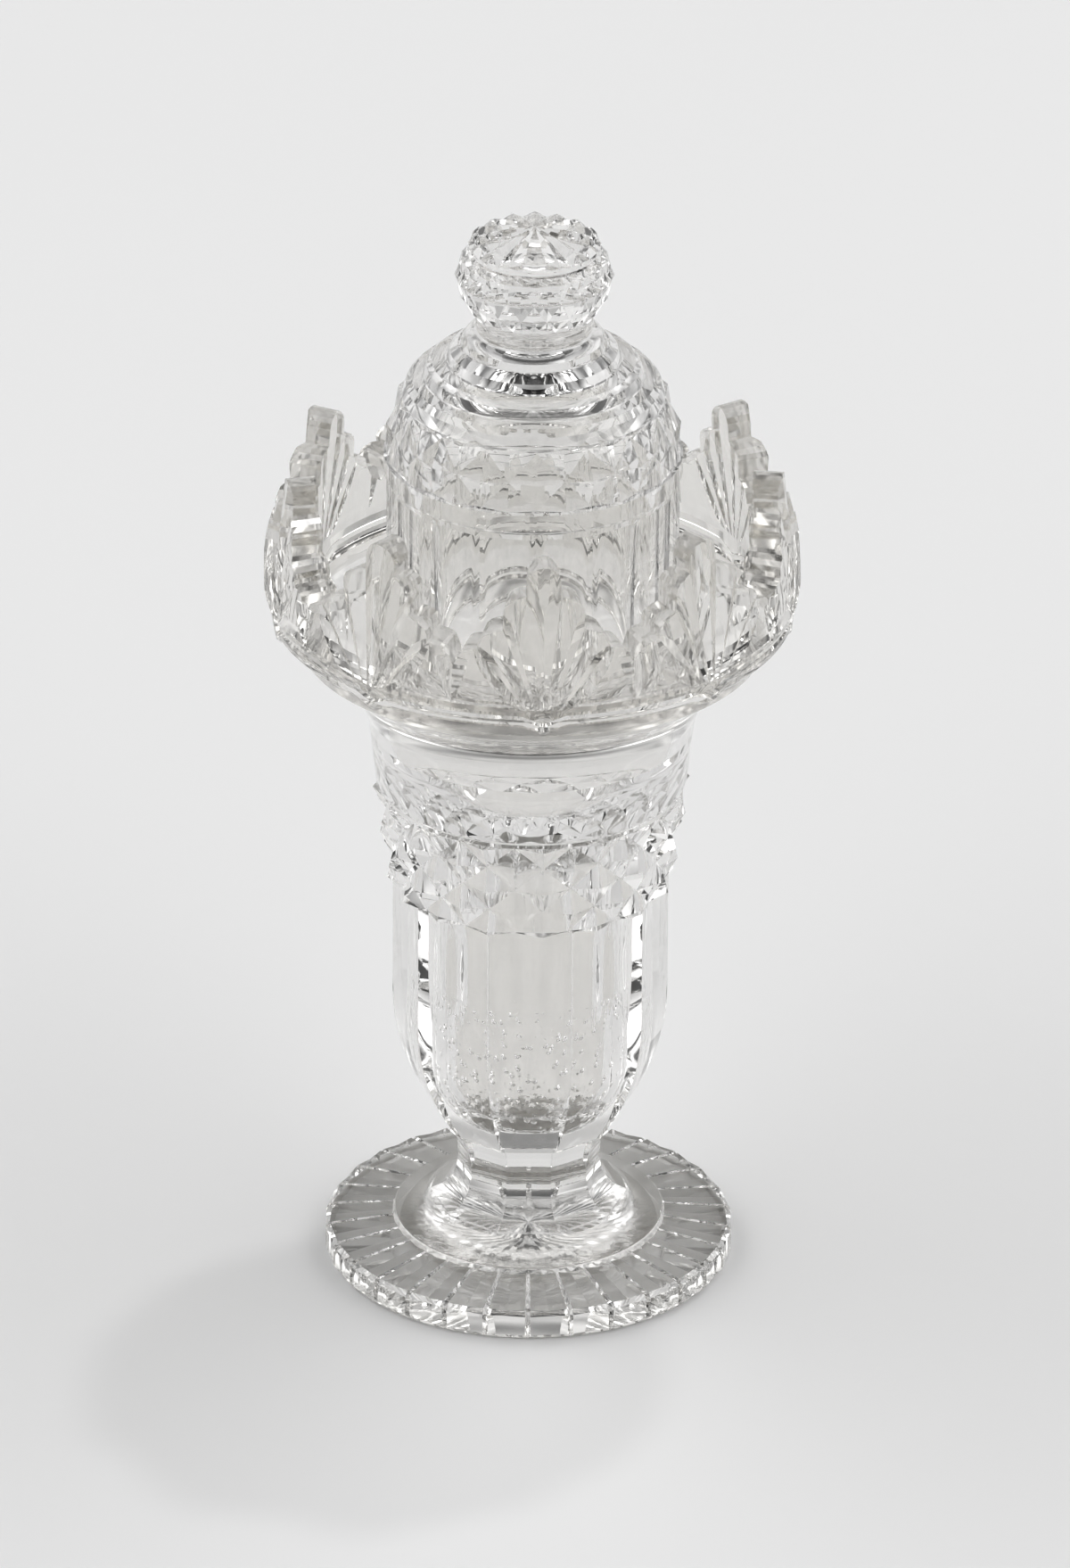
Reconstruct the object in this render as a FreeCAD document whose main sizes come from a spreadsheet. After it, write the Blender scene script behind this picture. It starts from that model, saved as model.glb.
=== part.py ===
"""Covered cut-glass powder jar: a fluted bowl on a round foot, a crown of nine fans, and a lift-off cover.

Frame: millimetres, +Z up, origin at the centre of the foot's underside.
The jar is one piece of glass (foot, stem, bowl and crown, worked hot into one another),
and the cover is the other (cover rim, dome and knob). Each section is a node of its own.
"""

import FreeCAD, Part
import math
import os
import re

import Sketcher

SHEET = "Sizes"
VECTOR = FreeCAD.Vector
FRONT = -90.0
CURVE_LEVELS = (0.33, 0.66)

SIZES = {
    # Foot: a thick disc with a low domed centre.
    "foot_radius": 43.7,
    "foot_bevel": 0.8,
    "foot_band_top": 5.6,
    "foot_top_radius": 42.8,
    "foot_rim_height": 6.6,
    "foot_step_radius": 28.9,
    "foot_step_base": 8.1,
    "foot_step_top": 8.9,
    "foot_dome_radius": 24.0,
    "foot_dome_height": 10.2,
    "foot_panels": 30,
    "foot_panel_radius": 20.0,
    "foot_panel_depth": 0.2,
    "foot_panel_start": 30.0,
    "foot_panel_end": 44.5,
    "star_rays": 16,
    "hollow_radius": 5.0,
    "hollow_depth": 0.9,
    "star_inner": 8.0,
    "star_outer": 27.0,
    "star_depth": 0.9,
    "star_half_width": 1.1,
    # Stem: short, solid and waisted.
    "stem_base": 12.6,
    "stem_base_radius": 19.0,
    "stem_waist_height": 20.5,
    "stem_waist_radius": 15.2,
    "stem_waist_curve": 13.5,
    "stem_top_radius": 17.4,
    # Bowl: ten broad flats, a band of diamonds and a flaring shoulder.
    "bowl_base": 31.2,
    "bowl_base_radius": 18.8,
    "bowl_collar_height": 36.1,
    "bowl_collar_radius": 22.0,
    "bowl_curve_top": 61.8,
    "bowl_curve_radius": 49.2,
    "bowl_radius": 29.3,
    "bowl_flat_top": 89.5,
    "bowl_flats": 10,
    "band_base_radius": 30.6,
    "band_middle": 100.3,
    "band_middle_radius": 32.2,
    "band_top": 111.1,
    "band_top_radius": 33.7,
    "band_ring_height": 112.4,
    "band_ring_radius": 32.9,
    "shoulder_low": 118.2,
    "shoulder_low_radius": 33.6,
    "shoulder_high": 123.3,
    "shoulder_high_radius": 34.6,
    "shoulder_curve": 24.0,
    "crown_base": 144.2,
    "crown_base_radius": 51.3,
    "bowl_inside_bottom": 36.5,
    "bowl_inside_radius": 15.0,
    "bowl_inside_corner": 11.0,
    "bowl_inside_flare": 104.0,
    "mouth_radius": 27.0,
    "mouth_start": 124.0,
    "bowl_diamonds": 16,
    "bowl_groove_depth": 2.2,
    "bowl_groove_half_width": 3.3,
    "bowl_diamond_height": 10.2,
    "bowl_diamond_turn": 5.0,
    "bowl_diamond_lean": 8.2,
    # Crown: a wall cut into nine stepped fans.
    "crown_shelf": 150.0,
    "crown_shelf_radius": 48.4,
    "crown_lip_height": 146.3,
    "crown_lip_radius": 54.2,
    "crown_wide_low": 152.5,
    "crown_wide_high": 167.0,
    "crown_radius": 56.5,
    "crown_shoulder": 174.4,
    "crown_shoulder_radius": 54.5,
    "crown_top": 187.2,
    "crown_top_radius": 52.8,
    "crown_inside_top": 46.6,
    "crown_fans": 9,
    "crown_turn": 2.6,
    "fan_valley": 165.6,
    "fan_low_step": 172.0,
    "fan_high_step": 179.0,
    "fan_valley_half": 4.2,
    "fan_low_half": 9.2,
    "fan_high_half": 14.4,
    "fan_lobe_rise": 1.6,
    "fan_overshoot": 2.6,
    # Cover: a straight wall, a band of diamonds, steps, a neck and a knob.
    "seat_gap": 0.3,
    "cover_rim_length": 6.0,
    "cover_rim_gap": 0.4,
    "cover_rim_wall": 4.0,
    "cover_rim_bevel": 0.6,
    "cover_radius": 30.8,
    "cover_flute_top": 184.1,
    "cover_step": 184.9,
    "cover_band_radius": 31.5,
    "cover_band_base": 189.4,
    "cover_band_top": 201.4,
    "cover_band_top_radius": 28.7,
    "cover_step_low": 206.2,
    "cover_step_low_radius": 25.6,
    "cover_step_high": 210.0,
    "cover_step_high_radius": 21.3,
    "cover_step_tread": 1.6,
    "cover_step_rise": 0.6,
    "neck_step_tread": 2.6,
    "neck_step_rise": 0.8,
    "neck_root": 214.8,
    "neck_root_radius": 14.8,
    "neck_base": 217.6,
    "neck_radius": 12.3,
    "cover_inside_shoulder": 192.0,
    "cover_inside_top": 206.0,
    "cover_inside_side": 200.5,
    "cover_inside_radius": 17.0,
    "cover_flutes": 16,
    "cover_flute_turn": 12.8,
    "cover_flute_radius": 40.0,
    "cover_flute_depth": 0.7,
    "cover_flute_end": 1.5,
    "cover_diamonds": 16,
    "cover_diamond_turn": 1.5,
    "cover_diamond_lean": 13.0,
    "cover_diamond_radius": 30.3,
    "cover_diamond_middle": 195.0,
    "cover_groove_depth": 1.6,
    "cover_groove_half_width": 2.8,
    "cover_diamond_height": 11.0,
    "knob_base": 221.4,
    "knob_base_radius": 13.4,
    "knob_wide_height": 229.3,
    "knob_radius": 16.7,
    "knob_ledge_height": 234.7,
    "knob_ledge_radius": 13.3,
    "knob_rim_height": 237.9,
    "knob_rim_radius": 13.0,
    "knob_top": 240.5,
    "knob_tip_radius": 0.8,
    "knob_rays": 16,
    "knob_ray_depth": 0.9,
    "knob_ray_half_width": 2.0,
    "knob_ray_slope": 1.5,
    "knob_ray_middle": 7.2,
    "knob_ray_height": 239.0,
    "knob_facets": 14,
    "knob_groove_depth": 1.1,
    "knob_groove_half_width": 1.9,
    "knob_diamond_height": 11.0,
    "groove_length": 40.0,
}


def make_sheet(doc):
    """The spreadsheet of driving dimensions, one alias a row."""
    sheet = doc.addObject("Spreadsheet::Sheet", SHEET)
    for row, (alias, number) in enumerate(SIZES.items(), start=1):
        sheet.set(f"A{row}", alias)
        sheet.set(f"B{row}", str(number))
        sheet.setAlias(f"B{row}", alias)
    doc.recompute()
    return sheet


def expression(text):
    """Turns words such as foot_radius - 1 into an expression of the sheet's cells."""
    return re.sub(r"[a-z_]+", lambda found: f"{SHEET}.{found[0]}" if found[0] in SIZES else found[0], text)


def evaluate(owner, text):
    """The number that an expression of the sheet has now."""
    return float(owner.evalExpression(expression(text)))


def new_body(doc, label):
    """An empty body at the frame's origin, named for its node."""
    body = doc.addObject("PartDesign::Body", label)
    body.Label = label
    body.Placement = FreeCAD.Placement()
    return body


def origin_feature(body, role):
    """One of the body's own origin planes or axes."""
    return next(item for item in body.Origin.OriginFeatures if item.Role == role)


def new_sketch(body, name, role, offset=None):
    """A sketch on one of the body's origin planes, moved within it by offset."""
    sketch = body.newObject("Sketcher::SketchObject", name)
    sketch.AttachmentSupport = [(origin_feature(body, role), "")]
    sketch.MapMode = "FlatFace"
    if offset is not None:
        sketch.AttachmentOffset = offset
    return sketch


def bind(sketch, constraint, text):
    """Adds a dimension whose size follows the sheet."""
    index = sketch.addConstraint(constraint)
    sketch.setExpression(f"Constraints[{index}]", expression(text))


def fix_point(sketch, edge, end, x_text, y_text):
    """Dimensions the end of an edge from the sketch's origin; a leading minus means the far side."""
    for kind, axis, text in (("DistanceX", -2, x_text), ("DistanceY", -1, y_text)):
        if text == "0":
            sketch.addConstraint(Sketcher.Constraint("PointOnObject", edge, end, axis))
        elif text.startswith("-"):
            size = text[1:].strip()
            distance = evaluate(sketch, size)
            bind(sketch, Sketcher.Constraint(kind, edge, end, -1, 1, distance), size)
        else:
            distance = evaluate(sketch, text)
            bind(sketch, Sketcher.Constraint(kind, -1, 1, edge, end, distance), text)


def signed(sketch, text):
    """The value of a coordinate, which may start with a minus."""
    if text.startswith("-"):
        return -evaluate(sketch, text[1:].strip())
    return evaluate(sketch, text)


def arc_between(start, end, radius, side):
    """The arc from start to end, its centre on the left (side 1) or the right (side -1)."""
    chord = end - start
    rise = math.sqrt(radius**2 - (chord.Length / 2) ** 2)
    left = VECTOR(-chord.y, chord.x, 0).normalize()
    centre = (start + end) * 0.5 + left * (rise * side)
    first, last = (start, end) if side > 0 else (end, start)
    angles = [math.atan2(point.y - centre.y, point.x - centre.x) for point in (first, last)]
    circle = Part.Circle(centre, VECTOR(0, 0, 1), radius)
    return Part.ArcOfCircle(circle, angles[0], angles[1])


def draw_outline(sketch, corners):
    """A closed outline. A corner is (x, y), or (x, y, radius, side) where an arc leaves it."""
    points = [VECTOR(signed(sketch, c[0]), signed(sketch, c[1]), 0) for c in corners]
    ends = []
    for index, corner in enumerate(corners):
        start, end = points[index], points[(index + 1) % len(points)]
        if len(corner) == 2:
            sketch.addGeometry(Part.LineSegment(start, end), False)
            ends.append((1, 2))
        else:
            radius = evaluate(sketch, corner[2])
            sketch.addGeometry(arc_between(start, end, radius, corner[3]), False)
            ends.append((1, 2) if corner[3] > 0 else (2, 1))
    for index in range(len(corners)):
        following = (index + 1) % len(corners)
        joined = Sketcher.Constraint("Coincident", index, ends[index][1], following, ends[following][0])
        sketch.addConstraint(joined)
    for index, corner in enumerate(corners):
        fix_point(sketch, index, ends[index][0], corner[0], corner[1])
        if len(corner) == 4:
            bind(sketch, Sketcher.Constraint("Radius", index, evaluate(sketch, corner[2])), corner[2])


def draw_circle(sketch, radius):
    """A circle round the sketch's origin."""
    size = evaluate(sketch, radius)
    sketch.addGeometry(Part.Circle(VECTOR(0, 0, 0), VECTOR(0, 0, 1), size), False)
    sketch.addConstraint(Sketcher.Constraint("Coincident", 0, 3, -1, 1))
    bind(sketch, Sketcher.Constraint("Radius", 0, size), radius)


def revolve(body, name, corners):
    """A full turn of an outline about the vertical axis."""
    sketch = new_sketch(body, name + "Outline", "XZ_Plane")
    draw_outline(sketch, corners)
    feature = body.newObject("PartDesign::Revolution", name)
    feature.Profile = (sketch, [""])
    feature.ReferenceAxis = (sketch, ["V_Axis"])
    feature.Angle = 360
    body.Document.recompute()
    return feature


def frame_along(direction, outward):
    """A rotation whose Z runs along direction and whose X points outward."""
    return FreeCAD.Rotation(outward, direction.cross(outward), direction, "ZXY")


def cut_round(body, name, sketch, length, count):
    """Cuts a sketch through the body, length long about its plane, and repeats it round the axis."""
    before = body.Tip.Shape.Volume
    pocket = body.newObject("PartDesign::Pocket", name)
    pocket.Profile = (sketch, [""])
    pocket.Type = "Length"
    pocket.SideType = "Symmetric"
    pocket.setExpression("Length", expression(length))
    body.Document.recompute()
    pattern = body.newObject("PartDesign::PolarPattern", name + "Pattern")
    pattern.Originals = [pocket]
    pattern.Axis = (origin_feature(body, "Z_Axis"), [""])
    pattern.Angle = 360
    pattern.setExpression("Occurrences", expression(count))
    body.Tip = pattern
    body.Document.recompute()
    if pattern.Shape.Volume > before * 0.9999:
        raise RuntimeError(f"{name} cuts nothing")


def groove_sketch(body, name, place, direction, outward, depth, half_width):
    """A V section with its point inward, across direction at place."""
    offset = FreeCAD.Placement(place, frame_along(direction, outward))
    sketch = new_sketch(body, name, "XY_Plane", offset)
    draw_outline(sketch, [(f"-{depth}", "0"), (depth, f"-2 * {half_width}"), (depth, f"2 * {half_width}")])
    return sketch


def around(degrees):
    """The outward unit vector at an angle round the axis."""
    angle = math.radians(degrees)
    return VECTOR(math.cos(angle), math.sin(angle), 0)


def cut_diamonds(body, name, place_at, lean, turn, height, count, depth, half_width):
    """Crossed V grooves round a band, which leave rows of four-faced points.

    place_at is the band's radius and height. Its wall leans out by lean degrees, a diamond is
    height tall, and turn is how far two grooves' crossing stands from the front.
    """
    reach = evaluate(body, place_at[0])
    rise = evaluate(body, place_at[1])
    step = math.radians(360 / evaluate(body, count)) * reach
    slope = math.atan2(evaluate(body, height), step)
    tip = math.radians(signed(body, lean))
    outward = around(FRONT + evaluate(body, turn))
    tangent = VECTOR(-outward.y, outward.x, 0)
    up = outward * math.sin(tip) + VECTOR(0, 0, math.cos(tip))
    for side, word in ((1, "Right"), (-1, "Left")):
        direction = tangent * (side * math.cos(slope)) + up * math.sin(slope)
        away = tangent.cross(up).normalize()
        place = outward * reach + VECTOR(0, 0, rise)
        sketch = groove_sketch(body, name + word + "Section", place, direction, away, depth, half_width)
        cut_round(body, name + word, sketch, "groove_length", count)


def build_foot(doc):
    """The round foot: hollow panels on its upper side and a star cut into its underside."""
    body = new_body(doc, "foot")
    revolve(body, "FootDisc", [
        ("0", "hollow_depth"),
        ("hollow_radius - hollow_depth", "hollow_depth"),
        ("hollow_radius", "0"),
        ("foot_radius - foot_bevel", "0"),
        ("foot_radius", "foot_bevel"),
        ("foot_radius", "foot_band_top"),
        ("foot_top_radius", "foot_rim_height"),
        ("foot_step_radius", "foot_step_base"),
        ("foot_step_radius", "foot_step_top"),
        ("foot_dome_radius", "foot_dome_height"),
        ("stem_base_radius", "stem_base"),
        ("0", "stem_base"),
    ])
    cut_foot_panels(body)
    cut_star(body)
    return body


def cut_foot_panels(body):
    """Thirty shallow hollow panels, as a round wheel cuts them, from the step out to the rim."""
    fall = evaluate(body, "foot_step_base - foot_rim_height")
    run = evaluate(body, "foot_top_radius - foot_step_radius")
    along = VECTOR(run, 0, -fall).normalize()
    across = VECTOR(fall, 0, run).normalize()
    lift = evaluate(body, "foot_panel_radius - foot_panel_depth")
    middle = evaluate(body, "(foot_panel_start + foot_panel_end) / 2 - foot_step_radius")
    step = VECTOR(evaluate(body, "foot_step_radius"), 0, evaluate(body, "foot_step_base"))
    place = step + along * middle + across * lift
    offset = FreeCAD.Placement(place, frame_along(along, across))
    sketch = new_sketch(body, "PanelSection", "XY_Plane", offset)
    draw_circle(sketch, "foot_panel_radius")
    cut_round(body, "Panel", sketch, "foot_panel_end - foot_panel_start", "foot_panels")


def cut_star(body):
    """V rays in the underside, clear of the ring that the foot stands on."""
    middle = evaluate(body, "(star_inner + star_outer) / 2")
    sketch = groove_sketch(body, "StarSection", VECTOR(middle, 0, 0), VECTOR(1, 0, 0), VECTOR(0, 0, -1),
                           "star_depth", "star_half_width")
    cut_round(body, "Star", sketch, "star_outer - star_inner", "star_rays")


def build_stem(doc):
    """The short solid stem, waisted in one curve between the foot and the bowl."""
    body = new_body(doc, "stem")
    revolve(body, "StemTurning", [
        ("0", "stem_base"),
        ("stem_base_radius", "stem_base", "stem_waist_curve", -1),
        ("stem_waist_radius", "stem_waist_height"),
        ("stem_top_radius", "bowl_base"),
        ("0", "bowl_base"),
    ])
    return body


def polygon_sketch(body, name, height, radius, sides):
    """A level regular polygon round the axis, with one corner on the X axis."""
    sketch = new_sketch(body, name, "XY_Plane")
    sketch.setExpression(".AttachmentOffset.Base.z", expression(height))
    size = evaluate(body, radius)
    count = int(evaluate(body, sides))
    points = [around(360 * corner / count) * size for corner in range(count)]
    for index in range(count):
        sketch.addGeometry(Part.LineSegment(points[index], points[(index + 1) % count]), False)
    sketch.addGeometry(Part.Circle(VECTOR(0, 0, 0), VECTOR(0, 0, 1), size), True)
    for index in range(count):
        sketch.addConstraint(Sketcher.Constraint("Coincident", index, 2, (index + 1) % count, 1))
        sketch.addConstraint(Sketcher.Constraint("PointOnObject", index, 1, count))
    for index in range(1, count):
        sketch.addConstraint(Sketcher.Constraint("Equal", 0, index))
    sketch.addConstraint(Sketcher.Constraint("Coincident", count, 3, -1, 1))
    sketch.addConstraint(Sketcher.Constraint("PointOnObject", 0, 1, -1))
    bind(sketch, Sketcher.Constraint("Radius", count, size), radius)
    return sketch


def build_bowl(doc):
    """The bowl: ten flats below, a diamond band, a flaring shoulder and a deep round cavity."""
    body = new_body(doc, "bowl")
    loft_flats(body)
    revolve(body, "BowlBlank", [
        ("0", "bowl_flat_top"),
        ("band_base_radius", "bowl_flat_top"),
        ("band_top_radius", "band_top"),
        ("band_ring_radius", "band_ring_height"),
        ("shoulder_low_radius", "shoulder_low"),
        ("shoulder_high_radius", "shoulder_high", "shoulder_curve", -1),
        ("crown_base_radius", "crown_base"),
        ("0", "crown_base"),
    ])
    cut_cavity(body)
    cut_diamonds(body, "BowlGroove", ("band_middle_radius", "band_middle"), "bowl_diamond_lean",
                 "bowl_diamond_turn", "bowl_diamond_height", "bowl_diamonds",
                 "bowl_groove_depth", "bowl_groove_half_width")
    return body


def loft_flats(body):
    """Ten flats from the collar up to the diamonds, straight across and following the lower curve."""
    levels = [("bowl_base", "bowl_base_radius"), ("bowl_collar_height", "bowl_collar_radius")]
    for part in CURVE_LEVELS:
        below = f"({1 - part} * (bowl_curve_top - bowl_collar_height))"
        spread = f"sqrt(bowl_curve_radius * bowl_curve_radius - {below} * {below})"
        levels.append((f"bowl_curve_top - {below}", f"bowl_radius - bowl_curve_radius + {spread}"))
    levels.append(("bowl_curve_top", "bowl_radius"))
    levels.append(("bowl_flat_top", "bowl_radius"))
    sketches = [polygon_sketch(body, f"FlatLevel{n}", height, radius, "bowl_flats")
                for n, (height, radius) in enumerate(levels)]
    loft = body.newObject("PartDesign::AdditiveLoft", "Flats")
    loft.Profile = (sketches[0], [""])
    loft.Sections = sketches[1:]
    loft.Ruled = True
    body.Document.recompute()


def cut_cavity(body):
    """The bowl's inside: round at the bottom, straight up the wall, wider at the mouth."""
    before = body.Tip.Shape.Volume
    sketch = new_sketch(body, "CavityOutline", "XZ_Plane")
    draw_outline(sketch, [
        ("0", "bowl_inside_bottom"),
        ("bowl_inside_radius - bowl_inside_corner", "bowl_inside_bottom", "bowl_inside_corner", 1),
        ("bowl_inside_radius", "bowl_inside_bottom + bowl_inside_corner"),
        ("bowl_inside_radius", "bowl_inside_flare"),
        ("mouth_radius", "mouth_start"),
        ("mouth_radius", "crown_base"),
        ("0", "crown_base"),
    ])
    groove = body.newObject("PartDesign::Groove", "Cavity")
    groove.Profile = (sketch, [""])
    groove.ReferenceAxis = (sketch, ["V_Axis"])
    groove.Angle = 360
    body.Document.recompute()
    if groove.Shape.Volume > before * 0.9:
        raise RuntimeError("the cavity cuts nothing")


def build_crown(doc):
    """The crown: a wall that rises round the cover, its edge cut into nine stepped fans."""
    body = new_body(doc, "crown")
    revolve(body, "CrownWall", [
        ("mouth_radius", "crown_base"),
        ("crown_base_radius", "crown_base"),
        ("crown_lip_radius", "crown_lip_height"),
        ("crown_radius", "crown_wide_low"),
        ("crown_radius", "crown_wide_high"),
        ("crown_shoulder_radius", "crown_shoulder"),
        ("crown_top_radius", "crown_top"),
        ("crown_inside_top", "crown_top"),
        ("crown_shelf_radius", "crown_shelf"),
        ("mouth_radius", "crown_shelf"),
    ])
    cut_fans(body)
    return body


def cut_fans(body):
    """Nine stepped valleys between the fans, each step of the edge a rounded lobe."""
    outward = around(FRONT + evaluate(body, "180 / crown_fans + crown_turn"))
    reach = evaluate(body, "(crown_radius + crown_inside_top) / 2")
    tangent = VECTOR(-outward.y, outward.x, 0)
    placement = FreeCAD.Placement(outward * reach, FreeCAD.Rotation(tangent, VECTOR(0, 0, 1), outward, "ZXY"))
    sketch = new_sketch(body, "ValleyOutline", "XY_Plane", placement)
    edge = "fan_high_half + fan_overshoot"
    draw_outline(sketch, [
        ("-fan_valley_half", "fan_valley"),
        ("0", "fan_valley - fan_lobe_rise"),
        ("fan_valley_half", "fan_valley"),
        ("fan_valley_half", "fan_low_step - fan_lobe_rise"),
        ("fan_low_half", "fan_low_step"),
        ("fan_low_half", "fan_high_step - fan_lobe_rise"),
        ("fan_high_half", "fan_high_step"),
        ("fan_high_half", "crown_top - 2 * fan_lobe_rise"),
        (edge, "crown_top + 1"),
        ("-(" + edge + ")", "crown_top + 1"),
        ("-fan_high_half", "crown_top - 2 * fan_lobe_rise"),
        ("-fan_high_half", "fan_high_step"),
        ("-fan_low_half", "fan_high_step - fan_lobe_rise"),
        ("-fan_low_half", "fan_low_step"),
        ("-fan_valley_half", "fan_low_step - fan_lobe_rise"),
    ])
    cut_round(body, "Valley", sketch, "2 * (crown_radius - crown_inside_top)", "crown_fans")


def build_cover_rim(doc):
    """The rim under the cover, which drops into the bowl's mouth and keeps the cover in place."""
    body = new_body(doc, "cover_rim")
    outer = "mouth_radius - cover_rim_gap"
    inner = "mouth_radius - cover_rim_gap - cover_rim_wall"
    top = "crown_shelf + seat_gap"
    revolve(body, "RimRing", [
        (inner, "crown_shelf + seat_gap - cover_rim_length"),
        ("mouth_radius - cover_rim_gap - cover_rim_bevel", "crown_shelf + seat_gap - cover_rim_length"),
        (outer, "crown_shelf + seat_gap - cover_rim_length + cover_rim_bevel"),
        (outer, top),
        (inner, top),
    ])
    return body


def build_cover(doc):
    """The cover's dome: fluted wall, diamond band, two steps and the neck under the knob."""
    body = new_body(doc, "cover_dome")
    base = "crown_shelf + seat_gap"
    inner = "mouth_radius - cover_rim_gap - cover_rim_wall"
    revolve(body, "DomeBlank", [
        (inner, base),
        ("cover_radius", base),
        ("cover_radius", "cover_flute_top"),
        ("cover_band_radius", "cover_step"),
        ("cover_band_radius", "cover_band_base"),
        ("cover_band_top_radius", "cover_band_top"),
        ("cover_step_low_radius", "cover_step_low"),
        ("cover_step_high_radius + cover_step_tread", "cover_step_low + cover_step_rise"),
        ("cover_step_high_radius", "cover_step_high"),
        ("neck_root_radius + neck_step_tread", "cover_step_high + neck_step_rise"),
        ("neck_root_radius", "neck_root"),
        ("neck_radius", "neck_base"),
        ("neck_radius", "knob_base"),
        ("0", "knob_base"),
        ("0", "cover_inside_top"),
        ("cover_inside_radius / 4", "cover_inside_top"),
        ("cover_inside_radius", "cover_inside_side"),
        (inner, "cover_inside_shoulder"),
    ])
    cut_cover_flutes(body)
    cut_diamonds(body, "CoverGroove", ("cover_diamond_radius", "cover_diamond_middle"),
                 "-cover_diamond_lean", "cover_diamond_turn", "cover_diamond_height", "cover_diamonds",
                 "cover_groove_depth", "cover_groove_half_width")
    return body


def cut_cover_flutes(body):
    """Broad, shallow upright flutes round the cover's straight wall, one under each diamond."""
    reach = evaluate(body, "cover_radius + cover_flute_radius - cover_flute_depth")
    outward = around(FRONT + evaluate(body, "cover_flute_turn"))
    place = outward * reach + VECTOR(0, 0, evaluate(body, "(crown_shelf + cover_flute_top) / 2"))
    sketch = new_sketch(body, "FluteSection", "XY_Plane", FreeCAD.Placement(place, FreeCAD.Rotation()))
    draw_circle(sketch, "cover_flute_radius")
    cut_round(body, "Flute", sketch, "cover_flute_top - crown_shelf - 2 * cover_flute_end", "cover_flutes")


def build_knob(doc):
    """The knob: a faceted girdle and a flat top with a star of rays."""
    body = new_body(doc, "knob")
    revolve(body, "KnobBlank", [
        ("0", "knob_base"),
        ("knob_base_radius", "knob_base"),
        ("knob_radius", "knob_wide_height"),
        ("knob_ledge_radius", "knob_ledge_height"),
        ("knob_rim_radius", "knob_rim_height"),
        ("knob_tip_radius", "knob_top"),
        ("0", "knob_top"),
    ])
    cut_knob_rays(body)
    cut_diamonds(body, "KnobGroove", ("knob_radius", "knob_wide_height"), "0", "0", "knob_diamond_height",
                 "knob_facets", "knob_groove_depth", "knob_groove_half_width")
    return body


def cut_knob_rays(body):
    """V rays from the middle of the knob's top out through its edge."""
    rim = evaluate(body, "knob_rim_radius")
    fall = evaluate(body, "knob_ray_slope * (knob_top - knob_rim_height)")
    along = VECTOR(rim, 0, -fall).normalize()
    away = VECTOR(fall, 0, rim).normalize()
    place = VECTOR(evaluate(body, "knob_ray_middle"), 0, evaluate(body, "knob_ray_height"))
    sketch = groove_sketch(body, "RaySection", place, along, away, "knob_ray_depth", "knob_ray_half_width")
    cut_round(body, "Ray", sketch, "knob_rim_radius", "knob_rays")


def check(doc, bodies):
    """Stops if any object failed or any shape isn't one valid solid."""
    for item in doc.Objects:
        if "Invalid" in item.State or "Error" in item.State:
            raise RuntimeError(f"{item.Name}: {item.State}")
    for body in bodies:
        shape = body.Shape
        if shape.isNull() or not shape.isValid() or len(shape.Solids) != 1:
            raise RuntimeError(f"{body.Label}: {len(shape.Solids)} solids, valid {shape.isValid()}")
        box = shape.optimalBoundingBox()
        print(f"{body.Label}: {shape.Volume / 1000:.1f} cm3, {len(shape.Faces)} faces, "
              f"z {box.ZMin:.2f} to {box.ZMax:.2f}, radius {box.XMax:.2f}")


def main():
    doc = FreeCAD.newDocument("PowderJar")
    make_sheet(doc)
    builders = (build_foot, build_stem, build_bowl, build_crown, build_cover_rim, build_cover, build_knob)
    bodies = [build(doc) for build in builders]
    doc.recompute()
    check(doc, bodies)
    os.makedirs("parts", exist_ok=True)
    for body in bodies:
        body.Shape.exportStep(f"parts/{body.Label}.step")


main()
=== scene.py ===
"""The looks of the covered cut-glass powder jar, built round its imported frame.

The jar and its cover are each one continuous skin of glass, laid ring by ring about the Z axis.
The crown's fans are then cut into the jar's skin with wheels, as a glass cutter does it.
Outlines are (radius, height) in millimetres, from the axis and from the foot's underside.
Angles are degrees, and 0 is the front. The floor, the light and the camera are in metres.
"""

import math
import random

import bmesh
import bpy
from mathutils import Matrix, Vector


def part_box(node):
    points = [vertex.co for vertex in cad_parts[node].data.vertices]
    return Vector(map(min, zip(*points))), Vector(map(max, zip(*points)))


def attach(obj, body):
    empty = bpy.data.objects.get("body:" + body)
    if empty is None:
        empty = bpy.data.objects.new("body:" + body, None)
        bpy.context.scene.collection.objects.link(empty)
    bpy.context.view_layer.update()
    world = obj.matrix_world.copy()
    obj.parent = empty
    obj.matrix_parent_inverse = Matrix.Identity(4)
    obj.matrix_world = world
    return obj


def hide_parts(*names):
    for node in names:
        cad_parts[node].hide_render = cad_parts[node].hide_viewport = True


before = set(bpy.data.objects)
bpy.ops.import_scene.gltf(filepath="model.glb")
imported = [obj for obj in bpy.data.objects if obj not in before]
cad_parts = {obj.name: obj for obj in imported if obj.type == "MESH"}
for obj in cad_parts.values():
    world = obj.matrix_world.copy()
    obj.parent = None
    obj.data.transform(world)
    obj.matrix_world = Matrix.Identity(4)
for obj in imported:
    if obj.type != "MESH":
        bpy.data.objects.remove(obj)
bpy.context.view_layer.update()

MM = 0.001
FRONT = -90.0
COLUMNS = 240
SAME_ANGLE = 1e-6


def low(node):
    """A CAD node's lowest point, in millimetres."""
    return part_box(node)[0].z / MM


def high(node):
    """A CAD node's highest point, in millimetres."""
    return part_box(node)[1].z / MM


def reach(node):
    """A CAD node's radius, in millimetres."""
    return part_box(node)[1].x / MM


# ---------------------------------------------------------------- ring-by-ring skins


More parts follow.
